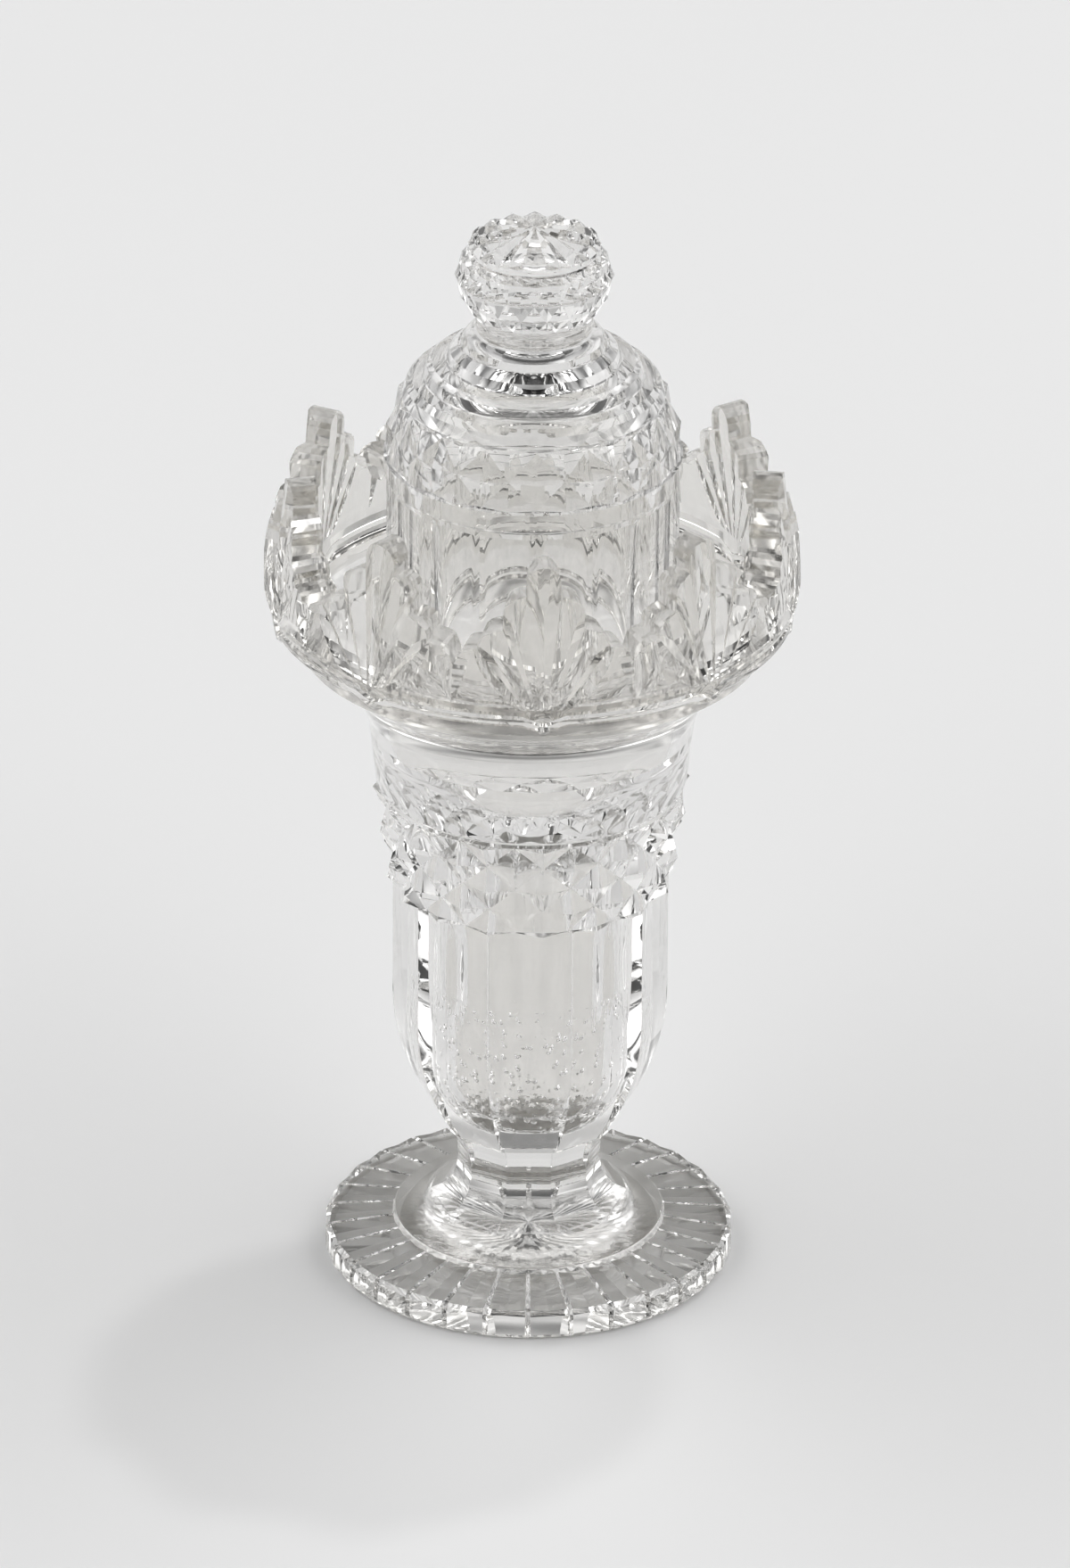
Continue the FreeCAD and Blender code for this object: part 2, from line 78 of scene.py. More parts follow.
def add_mesh(name, points, faces, materials):
    """A Blender mesh object of points in metres."""
    mesh = bpy.data.meshes.new(name)
    mesh.from_pydata([tuple(point) for point in points], [], faces)
    for material in materials:
        mesh.materials.append(material)
    mesh.update()
    piece = bpy.data.objects.new(name, mesh)
    bpy.context.scene.collection.objects.link(piece)
    return piece


def spot(angle, radius, height):
    """A point at an angle from the front, in metres."""
    turn = math.radians(FRONT + angle)
    return Vector((radius * math.cos(turn), radius * math.sin(turn), height)) * MM


class Skin:
    """A closed surface made of rings about the Z axis, each joined to the one before it."""

    def __init__(self):
        self.points = []
        self.faces = []
        self.slots = []
        self.slot = 0
        self.last = None

    def add_point(self, angle, radius, height):
        self.points.append(spot(angle, radius, height))
        return len(self.points) - 1

    def add_face(self, *corners):
        self.faces.append(corners)
        self.slots.append(self.slot)

    def pole(self, height):
        """A point on the axis, where the skin starts or ends."""
        tip = self.add_point(0, 0, height)
        if self.last:
            ring = self.last[1]
            for n, here in enumerate(ring):
                self.add_face(here, ring[(n + 1) % len(ring)], tip)
        self.last = ([0.0], [tip])

    def ring(self, spots, groove=False):
        """A ring of (angle, radius, height), in order of angle.

        The quads under a grooved ring fold along whichever diagonal lies nearer to the axis.
        """
        angles = [s[0] for s in spots]
        indices = [self.add_point(*s) for s in spots]
        if self.last:
            below, start = self.last
            if len(start) == 1:
                for n, here in enumerate(indices):
                    self.add_face(start[0], indices[(n + 1) % len(indices)], here)
            elif len(below) == len(angles) and all(abs(a - b) < SAME_ANGLE for a, b in zip(below, angles)):
                self.join_level(start, indices, groove)
            else:
                self.join_uneven(below, start, angles, indices)
        self.last = (angles, indices)

    def join_level(self, lower, upper, groove):
        """Joins two rings of the same angles, column by column."""
        count = len(lower)
        for n in range(count):
            m = (n + 1) % count
            a, b, c, d = lower[n], lower[m], upper[m], upper[n]
            if not groove:
                self.add_face(a, b, c, d)
                continue
            rising = (self.points[a] + self.points[c]).xy.length
            falling = (self.points[b] + self.points[d]).xy.length
            if rising < falling:
                self.add_face(a, b, c)
                self.add_face(a, c, d)
            else:
                self.add_face(a, b, d)
                self.add_face(b, c, d)

    def join_uneven(self, below, lower, above, upper):
        """Joins two rings of different angles with triangles, always stepping to the nearer next angle."""
        n_low, n_up = len(lower), len(upper)
        first = min(range(n_up), key=lambda k: abs((above[k] - below[0] + 180) % 360 - 180))
        shift = round((below[0] - above[first]) / 360) * 360
        i = j = 0
        while i < n_low or j < n_up:
            next_low = below[(i + 1) % n_low] + 360 * ((i + 1) // n_low)
            k = first + j + 1
            next_up = above[k % n_up] + 360 * (k // n_up) + shift
            here, there = lower[i % n_low], upper[(first + j) % n_up]
            if j >= n_up or (i < n_low and next_low <= next_up):
                self.add_face(here, lower[(i + 1) % n_low], there)
                i += 1
            else:
                self.add_face(here, upper[k % n_up], there)
                j += 1

    def lathe(self, outline, columns=COLUMNS):
        """A round ring for each (radius, height) of an outline."""
        for radius, height in outline:
            self.ring([(360 * n / columns, radius, height) for n in range(columns)])

    def build(self, name, materials):
        """The skin as a Blender object, each face with its own material slot."""
        piece = add_mesh(name, self.points, self.faces, materials)
        piece.data.polygons.foreach_set("material_index", self.slots)
        piece.data.update()
        return piece


def spline(a, b, c, d, t):
    """The Catmull-Rom value a share t of the way from b to c, with a before them and d after."""
    bend = (2 * a - 5 * b + 4 * c - d) * t * t
    twist = (3 * b - a - 3 * c + d) * t ** 3
    return 0.5 * (2 * b + (c - a) * t + bend + twist)


def curve(points, steps):
    """A smooth line through (radius, height) points, with steps spans between each two."""
    out = []
    for n in range(len(points) - 1):
        before = points[max(n - 1, 0)]
        start, end = points[n], points[n + 1]
        after = points[min(n + 2, len(points) - 1)]
        for step in range(steps):
            out.append(tuple(spline(*known, step / steps) for known in zip(before, start, end, after)))
    out.append(points[-1])
    return out


def arc(bend, start, end, steps):
    """Points of an arc of radius bend from start to end, which bulges away from the axis."""
    chord = Vector((end[0] - start[0], end[1] - start[1]))
    rise = math.sqrt(bend ** 2 - (chord.length / 2) ** 2)
    left = Vector((-chord.y, chord.x)).normalized()
    centre = (Vector(start) + Vector(end)) / 2 + left * rise
    first = math.atan2(start[1] - centre.y, start[0] - centre.x)
    last = math.atan2(end[1] - centre.y, end[0] - centre.x)
    angles = [first + (last - first) * s / steps for s in range(steps + 1)]
    return [(centre.x + bend * math.cos(a), centre.y + bend * math.sin(a)) for a in angles]


def flat_ring(radius, height, sides, per_side, turn):
    """A ring of a regular polygon, with its corners at the radius and one of them at turn."""
    half = 180 / sides
    out = []
    for n in range(sides * per_side):
        angle = turn + 360 * n / (sides * per_side)
        within = (angle - turn) % (2 * half) - half
        flat = math.cos(math.radians(half)) / math.cos(math.radians(within))
        out.append((angle, radius * flat, height))
    return out


def diamond_rows(skin, levels, count, turn, depth):
    """Crossed V grooves: rings of tips and crossings, half a diamond apart, at (radius, height) levels.

    The crossings of the first level start at turn, and each level moves on by half a diamond.
    So there is a full row of count diamonds at each level but the first and last, which have half ones.
    """
    half = 180 / count
    for row, (radius, height) in enumerate(levels):
        spots = []
        for n in range(2 * count):
            crossing = (n + row) % 2 == 0
            spots.append((turn + half * n, radius - (depth if crossing else 0.0), height))
        skin.ring(spots, groove=True)


# ---------------------------------------------------------------- the jar

# The jar's material slots; the ground glass and the edge glass have darker tints, which are painted shade.
CLEAR, GROUND_PAINTED_SHADE, SEEDED, THICK, EDGE_PAINTED_SHADE = range(5)

# The foot and stem: LINE_HALF is half the width, in degrees, of the line between two panels.
FOOT_PANELS = 30
STAR_RAYS = 32
STAR_HOLLOW = 0.2
LINE_HALF = 0.75
UNDERSIDE_COLUMNS = 120
DOME_COLUMNS = 180
STEM_SPANS = 12

# The bowl: BOWL_CORNER is the angle of one corner between its flats.
BOWL_SIDES = 10
BOWL_SPANS = 6
BOWL_CORNER = 18.0
BOWL_DIAMONDS = 16
BOWL_DIAMOND_TURN = -6.2
BOWL_DIAMOND_DEPTH = 2.2
BOWL_DIAMOND_SPANS = 4
BAND_BASE = 89.5
BAND_TOP = 111.1
BAND_RADIUS = 30.6
BAND_SPREAD = 3.1

# The crown: one fan's middle is at FAN_TURN, and the ridge dips to a point within RIDGE_HALF of each.
FANS = 9
FAN_SPACING = 360 / FANS
FAN_TURN = 2.6
RIDGE_HALF = 5.0
RIDGE_DIP = 1.8
CROWN_COLUMNS = 360

# The cavity, and the shelf round its mouth that the cover sits on.
CAVITY = 15.0
CAVITY_BASE = 36.5
CAVITY_CORNER = 11.0
CAVITY_CURVE = CAVITY_BASE + CAVITY_CORNER
CAVITY_RIBS = 10
CAVITY_RIB_DEPTH = 1.1
CAVITY_SEEDED = 66.0
SEEDED_COLUMNS = 120
DIMPLE = 0.15
DIMPLE_SEED = 3
SHELF = 150.0
SHELF_RADIUS = 48.4

FOOT_RADIUS = reach("foot")
STEM_BASE = low("stem")
BOWL_BASE = low("bowl")
CROWN_TOP = high("crown")
CROWN_RADIUS = reach("crown")


def panelled_ring(edge, line, hollow, panels):
    """A ring of slightly hollow panels with a thin V line between each two.

    edge, line and hollow are the (radius, height) of a panel's edge, of the line and of its middle.
    """
    pitch = 360 / panels
    out = []
    for n in range(panels):
        out.append((pitch * n - LINE_HALF, *edge))
        out.append((pitch * n, *line))
        out.append((pitch * n + LINE_HALF, *edge))
        out.append((pitch * (n + 0.5), *hollow))
    return out


def lay_foot(skin):
    """The underside with its low star and worn rim, the panelled band and top, and the low dome."""
    # The star below takes the ground glass: a real ground finish, with a darker tint that is painted shade
    # under the foot.
    skin.slot = GROUND_PAINTED_SHADE
    skin.pole(STAR_HOLLOW)
    for radius, depth in ((9.0, 0.2), (18.0, 0.3), (26.5, 0.0)):
        skin.ring([(180 * n / STAR_RAYS, radius, depth if n % 2 else 0.0) for n in range(2 * STAR_RAYS)])
    skin.slot = THICK
    skin.lathe([(29.0, 0.0), (FOOT_RADIUS - 2.6, 0.0)], UNDERSIDE_COLUMNS)
    # The worn rim: real wear in its roughness, and painted shade in its darker tint.
    skin.slot = GROUND_PAINTED_SHADE
    skin.lathe([(FOOT_RADIUS - 1.0, 0.0)], UNDERSIDE_COLUMNS)
    rings = (
        (THICK, (FOOT_RADIUS, 1.0), (FOOT_RADIUS - 0.8, 1.1), (FOOT_RADIUS - 0.3, 1.0)),
        (THICK, (FOOT_RADIUS, 5.5), (FOOT_RADIUS - 0.8, 5.2), (FOOT_RADIUS - 0.3, 5.5)),
        (CLEAR, (FOOT_RADIUS - 0.9, 6.6), (FOOT_RADIUS - 1.6, 5.9), (FOOT_RADIUS - 1.2, 6.3)),
        (CLEAR, (29.3, 8.1), (29.3, 7.3), (29.2, 7.7)),
    )
    for slot, edge, line, hollow in rings:
        skin.slot = slot
        skin.ring(panelled_ring(edge, line, hollow, FOOT_PANELS))
    skin.slot = THICK
    skin.lathe([(28.9, 8.8), (28.6, 9.0)], DOME_COLUMNS)
    dome = [(28.4, 9.0), (25.0, 9.8), (22.4, 10.9), (21.0, STEM_BASE - 0.4)]
    skin.lathe(curve(dome, 4), DOME_COLUMNS)
    skin.slot = CLEAR


def lay_stem(skin):
    """The short ten-sided stem, its flats spreading to a sharp edge on the foot."""
    lower = [(20.9, STEM_BASE + 0.5), (18.0, 14.6), (16.1, 17.0), (15.2, 20.5)]
    upper = [(15.4, 24.5), (16.2, 28.0), (17.3, BOWL_BASE - 0.2)]
    for radius, height in [(20.9, STEM_BASE)] + curve(lower + upper, 4):
        skin.ring(flat_ring(radius, height, BOWL_SIDES, STEM_SPANS, BOWL_CORNER))


def lay_bowl_flats(skin):
    """The collar's bevel and the ten flats above it."""
    outline = [(18.8, BOWL_BASE), (22.0, 36.1)]
    outline += arc(49.2, (22.0, 36.1), (29.3, 61.8), 14)[1:]
    outline += [(29.3, 75.0), (29.3, BAND_BASE)]
    for radius, height in outline:
        skin.ring(flat_ring(radius, height, BOWL_SIDES, BOWL_SPANS, BOWL_CORNER))


def lay_bowl_diamonds(skin):
    """Three staggered rows of diamonds between two half rows, on a wall that leans out."""
    levels = []
    for level in range(BOWL_DIAMOND_SPANS + 1):
        share = level / BOWL_DIAMOND_SPANS
        levels.append((BAND_RADIUS + BAND_SPREAD * share, BAND_BASE + (BAND_TOP - BAND_BASE) * share))
    diamond_rows(skin, levels, BOWL_DIAMONDS, BOWL_DIAMOND_TURN, BOWL_DIAMOND_DEPTH)


def lay_shoulder(skin):
    """The cut ring over the diamonds, and the flare out to the crown."""
    skin.lathe([(32.3, BAND_TOP + 0.3), (32.0, 112.1), (32.9, 113.0)])
    wall = [(33.0, 113.4), (33.6, 118.2), (34.1, 123.3)]
    flare = [(35.3, 130.0), (38.6, 136.6), (43.4, 141.6), (48.0, 144.6)]
    skin.lathe(curve(wall + flare, 5))


def near_fan(angle, width):
    """1 at the middle of a fan, falling to 0 at so many degrees from it."""
    from_fan = abs((angle - FAN_TURN + FAN_SPACING / 2) % FAN_SPACING - FAN_SPACING / 2)
    return max(0.0, 1 - from_fan / width)


def lay_crown(skin):
    """The crown's blank: a ground band, darkened by painted shade, a ridge with a point under each fan, and
    a thick wall.
    """
    # The ground band takes the edge glass: its roughness is a real ground finish, and its darker tint is
    # painted shade on this downward face.
    skin.slot = EDGE_PAINTED_SHADE
    skin.lathe([(49.4, 145.6), (51.6, 150.3)], CROWN_COLUMNS)
    skin.slot = THICK
    for radius, height in ((54.3, 151.3), (55.0, 152.1), (54.9, 153.2), (54.2, 153.7)):
        ring = []
        for n in range(CROWN_COLUMNS):
            angle = 360 * n / CROWN_COLUMNS
            ring.append((angle, radius, height - RIDGE_DIP * near_fan(angle, RIDGE_HALF)))
        skin.ring(ring)
    lower = [(55.4, 155.0), (CROWN_RADIUS, 158.0), (CROWN_RADIUS, 165.0)]
    outline = curve(lower + [(55.5, 172.0), (53.6, 179.6)], 3)
    skin.lathe([(min(radius, CROWN_RADIUS), height) for radius, height in outline], CROWN_COLUMNS)
    skin.lathe([(52.8, CROWN_TOP), (46.6, CROWN_TOP), (SHELF_RADIUS, SHELF + 1.0)], CROWN_COLUMNS)
    skin.lathe([(SHELF_RADIUS - 1.0, SHELF)], CROWN_COLUMNS)
    skin.slot = CLEAR


def lay_cavity(skin):
    """The shelf that the cover sits on, the mouth, and the bowl's inside: ribbed, then seeded."""
    skin.lathe([(27.6, SHELF), (27.0, SHELF - 0.6), (27.0, 126.0)])
    skin.lathe(curve([(27.0, 124.0), (24.4, 117.0), (19.4, 108.0), (15.6, 100.0), (CAVITY, 94.0)], 5))
    skin.slot = THICK
    for share, height in ((0.0, 88.0), (1.0, 80.0), (1.0, 72.0), (0.8, CAVITY_SEEDED)):
        ring = []
        for n in range(COLUMNS):
            angle = 360 * n / COLUMNS
            rib = share * CAVITY_RIB_DEPTH * (1 - math.cos(math.radians(angle * CAVITY_RIBS))) / 2
            ring.append((angle, CAVITY - rib, height))
        skin.ring(ring)
    skin.slot = SEEDED
    dimple = random.Random(DIMPLE_SEED)
    corner = arc(CAVITY_CORNER, (CAVITY - CAVITY_CORNER, CAVITY_BASE), (CAVITY, CAVITY_CURVE), 14)
    wall = [(CAVITY, 60.0), (CAVITY, 54.0), (CAVITY, 50.0)]
    for radius, height in wall + corner[:0:-1] + [(2.5, CAVITY_BASE)]:
        angles = [360 * n / SEEDED_COLUMNS for n in range(SEEDED_COLUMNS)]
        dented = [(angle, radius - dimple.uniform(0, DIMPLE)) for angle in angles]
        skin.ring([(angle, within, height + dimple.uniform(0, DIMPLE)) for angle, within in dented])
    skin.pole(CAVITY_BASE)


# ---------------------------------------------------------------- cutting the crown

# A fan's lobes from its middle out: degrees to the lobe's outer end, its top, and how far it rounds off.
LOBES = ((4.0, 187.2, 4.2), (9.0, 180.4, 3.0), (14.3, 173.4, 2.8), (18.4, 169.4, 1.6))
LOBE_SPANS = (5, 4, 4, 4)
NOTCH_HEIGHT = 164.6

# The collar that cuts the edge: its inner and outer radius, and how far it rises over the crown.
COLLAR_INSIDE = 42.0
COLLAR_OUTSIDE = 60.0
COLLAR_RISE = 4.0

# The V wheels' grooves: a run is OVERRUN times as long as the groove that it cuts, so that it comes out
# of the glass, and a blade reaches BLADE_BACK behind its edge.
GROOVED_LOBES = 3
GROOVE_START = (0.0, 56.3, 150.6)
GROOVE_END_RADIUS = 53.4
GROOVE_END_STEP = 1.6
GROOVE_DEPTHS = (0.0, 1.0)
GROOVE_HALF_ANGLE = 68.0
VALLEY_BASE = 155.0
VALLEY_DEPTHS = (0.2, 1.6)
VALLEY_HALF_ANGLE = 65.0
OVERRUN = 1.25
BLADE_BACK = 6.0


def fan_outline():
    """The crown's edge as (angle, height): nine fans of a round middle lobe and stepped side lobes."""
    out = []
    for fan in range(FANS):
        middle = FAN_TURN + FAN_SPACING * fan
        half = []
        inner = 0.0
        for (outer, top, drop), spans in zip(LOBES, LOBE_SPANS):
            for span in range(spans + 1):
                turn = math.radians(90 * span / spans)
                half.append((inner + (outer - inner) * math.sin(turn), top - drop * (1 - math.cos(turn))))
            inner = outer
        half.append((FAN_SPACING / 2, NOTCH_HEIGHT))
        out += [(middle - angle, height) for angle, height in reversed(half[1:-1])]
        out += [(middle + angle, height) for angle, height in half]
    return out


def edge_cutter(material):
    """A closed collar that holds everything above the crown's edge."""
    outline = fan_outline()
    count = len(outline)
    top = CROWN_TOP + COLLAR_RISE
    skin = Skin()
    skin.ring([(angle, COLLAR_OUTSIDE, height) for angle, height in outline])
    skin.ring([(angle, COLLAR_OUTSIDE, top) for angle, _ in outline])
    skin.ring([(angle, COLLAR_INSIDE, top) for angle, _ in outline])
    skin.ring([(angle, COLLAR_INSIDE, height) for angle, height in outline])
    skin.join_level(list(range(3 * count, 4 * count)), list(range(count)), False)
    return skin.build("edge_cutter", [material])


def wedge(start, end, inward, depths, half_angle):
    """The three-sided blade of a V wheel, its edge from start to end sunk by depths along inward."""
    along = (end - start).normalized()
    across = along.cross(inward).normalized()
    opening = BLADE_BACK * MM
    spread = math.tan(math.radians(half_angle))
    corners = []
    for point, depth in zip((start, end), depths):
        tip = point + inward * depth
        back = tip - inward * opening
        corners += [tip, back + across * opening * spread, back - across * opening * spread]
    faces = [(0, 1, 2), (3, 5, 4), (0, 3, 4, 1), (1, 4, 5, 2), (2, 5, 3, 0)]
    return corners, faces


def fan_grooves(name, start_at, end_at, depths, half_angle, material):
    """One groove of each fan on the crown's outer face, as one cutter.

    start_at and end_at are (degrees from the fan's middle, radius, height), and depths go with them.
    """
    points, faces = [], []
    for fan in range(FANS):
        middle = FAN_TURN + FAN_SPACING * fan
        start = spot(middle + start_at[0], *start_at[1:])
        end = spot(middle + end_at[0], *end_at[1:])
        facing = -spot(middle + (start_at[0] + end_at[0]) / 2, 1 / MM, 0)
        run = end - start
        inward = (facing - run * (facing.dot(run) / run.length_squared)).normalized()
        far = start + run * OVERRUN
        last = (depths[0] + (depths[1] - depths[0]) * OVERRUN) * MM
        corners, sides = wedge(start, far, inward, (depths[0] * MM, last), half_angle)
        offset = len(points)
        points += corners
        faces += [tuple(offset + corner for corner in face) for face in sides]
    return add_mesh(name, points, faces, [material])


def face_out(piece):
    """Turns a closed mesh's faces outward."""
    work = bmesh.new()
    work.from_mesh(piece.data)
    bmesh.ops.recalc_face_normals(work, faces=work.faces)
    work.to_mesh(piece.data)
    work.free()


def cut(piece, cutter):
    """Takes the cutter's volume out of the piece."""
    face_out(cutter)
    modifier = piece.modifiers.new("cut", "BOOLEAN")
    modifier.operation = "DIFFERENCE"
    modifier.solver = "MANIFOLD"
    modifier.object = cutter
    bpy.context.view_layer.update()
    depsgraph = bpy.context.evaluated_depsgraph_get()
    mesh = bpy.data.meshes.new_from_object(piece.evaluated_get(depsgraph))
    piece.modifiers.clear()
    old = piece.data
    piece.data = mesh
    bpy.data.meshes.remove(old)
    bpy.data.objects.remove(cutter)


def cut_crown(jar, edge, thick):
    """The stepped edge, the grooves that spread up each fan from a point at its foot, and the valleys."""
    # The faces that this cut leaves take the edge glass, whose darker tint is painted shade on the fan
    # edges.
    cut(jar, edge_cutter(edge))
    for n in range(GROOVED_LOBES):
        for way in (-1, 1):
            end = (way * LOBES[n][0], GROOVE_END_RADIUS + GROOVE_END_STEP * n, LOBES[n + 1][1])
            name = f"outer_{n}_{way}"
            cut(jar, fan_grooves(name, GROOVE_START, end, GROOVE_DEPTHS, GROOVE_HALF_ANGLE, thick))
    start = (FAN_SPACING / 2, CROWN_RADIUS + 0.2, VALLEY_BASE)
    end = (FAN_SPACING / 2, CROWN_RADIUS, NOTCH_HEIGHT)
    cut(jar, fan_grooves("valley", start, end, VALLEY_DEPTHS, VALLEY_HALF_ANGLE, thick))


# ---------------------------------------------------------------- the cover

COVER_BASE = low("cover_dome")
COVER_RADIUS = 30.8
COVER_BAND_BASE = 189.4
COVER_BAND_TOP = 201.4
COVER_DIAMONDS = 16
COVER_DIAMOND_TURN = 1.5
COVER_DIAMOND_DEPTH = 1.2
COVER_FLUTE_DEPTH = 0.7
COVER_FLUTE_SPANS = 12
RIM_BASE = low("cover_rim")
RIM_RADIUS = reach("cover_rim")
RIM_INSIDE = 22.6
KNOB_BASE = low("knob")
KNOB_TOP = high("knob")
KNOB_COLUMNS = 160
KNOB_DIAMONDS = 18
KNOB_DIAMOND_DEPTH = 0.4
KNOB_RAYS = 16


def lay_cover_inside(skin):
    """The hollow of the dome, down to the rim that drops into the bowl's mouth."""
    skin.pole(206.0)
    skin.lathe(curve([(5.0, 205.8), (12.0, 203.8), (17.5, 199.6), (21.2, 193.5), (22.5, 186.0)], 4))
    skin.lathe([(RIM_INSIDE, 170.0), (RIM_INSIDE, RIM_BASE + 0.3)])
    skin.lathe([(RIM_INSIDE + 0.3, RIM_BASE), (RIM_RADIUS - 0.5, RIM_BASE)])
    skin.lathe([(RIM_RADIUS, RIM_BASE + 0.5), (RIM_RADIUS, COVER_BASE)])


def lay_cover_wall(skin):
    """Broad flutes up the straight wall, one under each of the lower half diamonds, and a plain band."""
    columns = COVER_DIAMONDS * COVER_FLUTE_SPANS
    for radius, height, depth in (
        (COVER_RADIUS - 0.3, COVER_BASE, COVER_FLUTE_DEPTH),
        (COVER_RADIUS, COVER_BASE + 0.3, COVER_FLUTE_DEPTH),
        (COVER_RADIUS, 182.6, COVER_FLUTE_DEPTH),
        (COVER_RADIUS, 184.1, 0.0),
    ):
        ring = []
        for n in range(columns):
            share = n % COVER_FLUTE_SPANS / COVER_FLUTE_SPANS
            hollow = depth * (1 - (2 * share - 1) ** 2)
            ring.append((COVER_DIAMOND_TURN + 360 * n / columns, radius - hollow, height))
        skin.ring(ring)
    skin.lathe([(COVER_RADIUS, 184.3), (31.4, 184.9), (31.4, 188.8), (30.9, 189.2)])


def lay_cover_diamonds(skin):
    """One full row of diamonds between two half rows, on the turn of the dome."""
    middle = (COVER_BAND_BASE + COVER_BAND_TOP) / 2
    levels = ((31.5, COVER_BAND_BASE), (30.9, middle), (28.8, COVER_BAND_TOP))
    diamond_rows(skin, levels, COVER_DIAMONDS, COVER_DIAMOND_TURN, COVER_DIAMOND_DEPTH)


def lay_cover_steps(skin):
    """The rounded steps up to the neck, each after its tread, and the neck with its fine grooves."""
    for tread, riser in (
        ((27.6, 201.8), [(27.6, 202.2), (26.8, 204.6), (25.6, 206.0)]),
        ((23.4, 206.5), [(23.2, 206.8), (22.4, 208.8), (21.3, 209.8)]),
        ((18.6, 210.2), [(18.3, 210.5), (17.6, 212.4), (15.9, 213.9)]),
        ((15.6, 213.7), [(15.3, 213.9), (14.7, 215.6), (13.6, 216.6), (12.5, 217.0)]),
    ):
        skin.lathe([tread] + curve(riser, 3))
    skin.lathe([(12.1, 217.4), (12.2, 218.4), (12.4, 218.6), (12.3, 219.6)])
    skin.lathe([(12.1, 219.9), (12.3, 220.2), (12.3, KNOB_BASE)])


def lay_knob(skin):
    """The girdle of diamonds, the narrow ledge and the star-cut top."""
    levels = ((13.3, 221.9), (15.5, 225.3), (reach("knob"), 229.6), (15.4, 233.6))
    diamond_rows(skin, levels, KNOB_DIAMONDS, 0.0, KNOB_DIAMOND_DEPTH)
    skin.lathe([(14.0, 234.9), (13.4, 235.2), (13.4, 235.8), (13.8, 236.0)], KNOB_COLUMNS)
    ridges = ((13.9, 236.9), (12.6, 238.2), (6.0, 239.8))
    grooves = ((13.6, 236.4), (12.1, 237.3), (6.0, 239.1))
    for ridge, groove in zip(ridges, grooves):
        skin.ring([(360 * n / (2 * KNOB_RAYS), *(groove if n % 2 else ridge)) for n in range(2 * KNOB_RAYS)])
    skin.pole(KNOB_TOP)


# ---------------------------------------------------------------- materials

GLASS_IOR = 1.54
GRAIN_DETAIL = 3.0
GRAIN_HEIGHT = 0.0004
SEED_SCALE = 480.0
SEED_EDGE = 0.38
PAPER_ROUGHNESS = 0.9
PAPER_GLOSS = 0.1
PAPER_SCALE = 40.0
PAPER_TONES = (0.79, 0.81)


def ramp(tree, value, start, end, smooth=True):
    """A value's range mapped from start to end, each a pair of the value and what it becomes."""
    node = tree.nodes.new("ShaderNodeMapRange")
    if smooth:
        node.interpolation_type = "SMOOTHSTEP"
    node.inputs["From Min"].default_value, node.inputs["To Min"].default_value = start
    node.inputs["From Max"].default_value, node.inputs["To Max"].default_value = end
    tree.links.new(value, node.inputs["Value"])
    return node.outputs["Result"]


def glass(name, tint, roughness, grain, scale, dulled=1.0):
    """Clear glass with an uneven surface, from a polished cut to a ground one.

    scale sets how fine its grain is, and dulled, from 1 down, how much of its reflections is left.
    """
    material = bpy.data.materials.new(name)
    material.use_nodes = True
    tree = material.node_tree
    nodes, links = tree.nodes, tree.links
    shader = nodes["Principled BSDF"]
    shader.inputs["Base Color"].default_value = (*tint, 1)
    shader.inputs["Transmission Weight"].default_value = 1.0
    shader.inputs["IOR"].default_value = GLASS_IOR
    shader.inputs["Specular Tint"].default_value = (dulled, dulled, dulled, 1)
    where = nodes.new("ShaderNodeTexCoord")
    noise = nodes.new("ShaderNodeTexNoise")
    noise.inputs["Scale"].default_value = scale
    noise.inputs["Detail"].default_value = GRAIN_DETAIL
    links.new(where.outputs["Object"], noise.inputs["Vector"])
    rough = ramp(tree, noise.outputs["Fac"], (0.0, roughness * 0.5), (1.0, roughness * 1.5), smooth=False)
    links.new(rough, shader.inputs["Roughness"])
    bump = nodes.new("ShaderNodeBump")
    bump.inputs["Strength"].default_value = grain
    bump.inputs["Distance"].default_value = GRAIN_HEIGHT
    links.new(noise.outputs["Fac"], bump.inputs["Height"])
    links.new(bump.outputs["Normal"], shader.inputs["Normal"])
    return material


def add_seeds(material):
    """Swaps a glass's fine grain for scattered round bumps, which stand for small air bubbles."""
    tree = material.node_tree
    cells = tree.nodes.new("ShaderNodeTexVoronoi")
    cells.inputs["Scale"].default_value = SEED_SCALE
    tree.links.new(tree.nodes["Texture Coordinate"].outputs["Object"], cells.inputs["Vector"])
    dots = ramp(tree, cells.outputs["Distance"], (0.0, 1.0), (SEED_EDGE, 0.0))
    tree.links.new(dots, tree.nodes["Bump"].inputs["Height"])


def paper(name):
    """The pale seamless floor."""
    material = bpy.data.materials.new(name)
    material.use_nodes = True
    tree = material.node_tree
    shader = tree.nodes["Principled BSDF"]
    shader.inputs["Roughness"].default_value = PAPER_ROUGHNESS
    shader.inputs["Specular IOR Level"].default_value = PAPER_GLOSS
    noise = tree.nodes.new("ShaderNodeTexNoise")
    noise.inputs["Scale"].default_value = PAPER_SCALE
    darkest, palest = PAPER_TONES
    tone = ramp(tree, noise.outputs["Fac"], (0.0, darkest), (1.0, palest), smooth=False)
    tree.links.new(tone, shader.inputs["Base Color"])
    return material


# ---------------------------------------------------------------- pieces

CRISP_ANGLE = 11.0


def smooth_between_cuts(piece):
    """Smooth shading, with every edge sharper than CRISP_ANGLE left crisp."""
    mesh = piece.data
    mesh.polygons.foreach_set("use_smooth", [True] * len(mesh.polygons))
    mesh.set_sharp_from_angle(angle=math.radians(CRISP_ANGLE))
    mesh.update()


